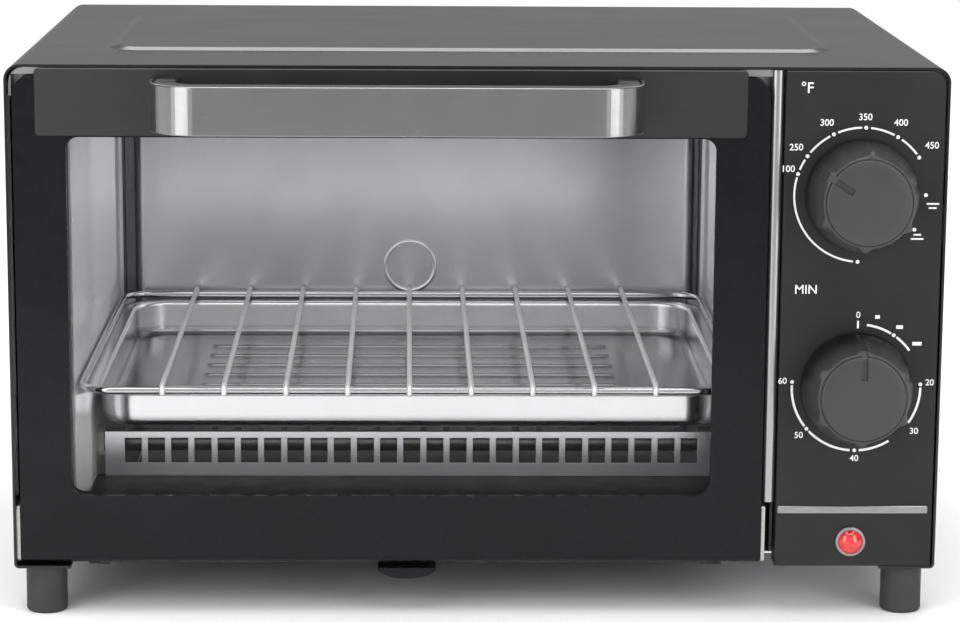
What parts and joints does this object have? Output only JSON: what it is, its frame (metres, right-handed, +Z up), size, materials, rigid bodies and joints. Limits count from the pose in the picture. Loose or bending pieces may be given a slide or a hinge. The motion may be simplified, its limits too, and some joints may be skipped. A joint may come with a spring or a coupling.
{
  "type": "toaster oven",
  "caption": "Countertop toaster oven: black steel case, drop-down glass door with bar handle, wire rack, baking pan, crumb tray and a side control panel with turning knobs.",
  "frame": {"origin": "on the table, under the centre of the whole object's box", "axes": "+X to the right as seen from the front, +Y from the front to the back, +Z up"},
  "size_m": [0.36, 0.28, 0.2173],
  "materials": {
    "black_paint": "satin black enamel on steel",
    "galvanised": "bare aluminised steel, blotchy",
    "sill_black": "black enamel",
    "zinc": "zinc plated",
    "door_black": "black, low gloss",
    "glass": "clear tempered glass",
    "door_plate": "dark grey satin",
    "handle_black": "moulded black",
    "handle_silver": "satin silver cover",
    "panel_black": "moulded black with white dial marks",
    "trim_silver": "satin strip",
    "lens_red": "clear red lens",
    "lamp": "neon lamp",
    "knob_black": "moulded black",
    "shaft_steel": "turned steel",
    "chrome": "bright wire",
    "pan_silver": "pressed sheet",
    "tray_grey": "pressed sheet, dark coated",
    "ceramic": "unglazed",
    "heater": "heater sheath",
    "foot_black": "matte dark grey",
    "control_body": "phenolic block",
    "brass": "plated brass"
  },
  "bodies": {
    "case": {"outer_wrap": "black_paint", "front_frame": "galvanised", "front_sill": "sill_black", "base_plate": "galvanised", "rear_panel": "black_paint", "rear_spacers": "foot_black", "cord_gland": "handle_black", "terminal_block": "ceramic", "left_liner": "galvanised", "right_liner": "galvanised", "roof_liner": "galvanised", "back_liner": "galvanised", "heater_guard": "galvanised", "lower_heaters": "heater", "upper_heaters": "heater", "heater_insulators": "ceramic", "control_panel": "panel_black", "panel_trim_strip": "trim_silver", "indicator_bezel": "trim_silver", "indicator_lens": "lens_red", "neon_lamp": "lamp", "control_bracket": "zinc", "panel_screws": "zinc", "thermostat": "control_body", "timer": "zinc", "timer_bell": "chrome", "bushing_nuts": "brass", "hinge_brackets": "zinc", "tray_rails": "black_paint", "foot_front_left": "foot_black", "foot_front_right": "foot_black", "foot_rear_left": "foot_black", "foot_rear_right": "foot_black", "foot_screws": "zinc", "rear_screws": "zinc"},
    "door": {"door_frame": "door_black", "door_glass": "glass", "door_retainer": "sill_black", "door_screws": "zinc", "door_plate": "door_plate", "handle_core": "handle_black", "handle_cover": "handle_silver", "handle_screws": "zinc", "hinge_pins": "shaft_steel"},
    "temperature_knob": {"temp_knob": "knob_black", "thermostat_shaft": "shaft_steel"},
    "timer_dial": {"timer_knob": "knob_black", "timer_shaft": "shaft_steel"},
    "rack": {"wire_rack": "chrome"},
    "pan": {"baking_pan": "pan_silver"},
    "tray": {"crumb_tray": "tray_grey", "crumb_tray_pull": "door_black"}
  },
  "joints": [
    {"name": "door_hinge", "type": "hinge", "parent": "case", "child": "door", "pos_m": [-0.03215, -0.102, 0.031], "axis": [1, 0, 0], "range_deg": [0, 86], "stiffness_Nm_per_rad": 0.25, "springref_deg": -34.38},
    {"name": "temperature_turn", "type": "hinge", "parent": "case", "child": "temperature_knob", "pos_m": [0.147, -0.118, 0.1673], "axis": [0, 1, 0], "range_deg": [-121, 180]},
    {"name": "timer_turn", "type": "hinge", "parent": "case", "child": "timer_dial", "pos_m": [0.147, -0.118, 0.0918], "axis": [0, 1, 0], "range_deg": [0, 275]},
    {"name": "rack_slide", "type": "slide", "parent": "case", "child": "rack", "axis": [0, -1, 0], "range_m": [0, 0.068]},
    {"name": "pan_slide", "type": "slide", "parent": "case", "child": "pan", "axis": [0, -1, 0], "range_m": [0, 0.068]},
    {"name": "tray_slide", "type": "slide", "parent": "case", "child": "tray", "axis": [0, -1, 0], "range_m": [0, 0.15]}
  ],
  "couplings": [
    {"joint": "rack_slide", "follows": "door_hinge", "m_per_rad": 0.045},
    {"joint": "pan_slide", "follows": "door_hinge", "m_per_rad": 0.045}
  ]
}
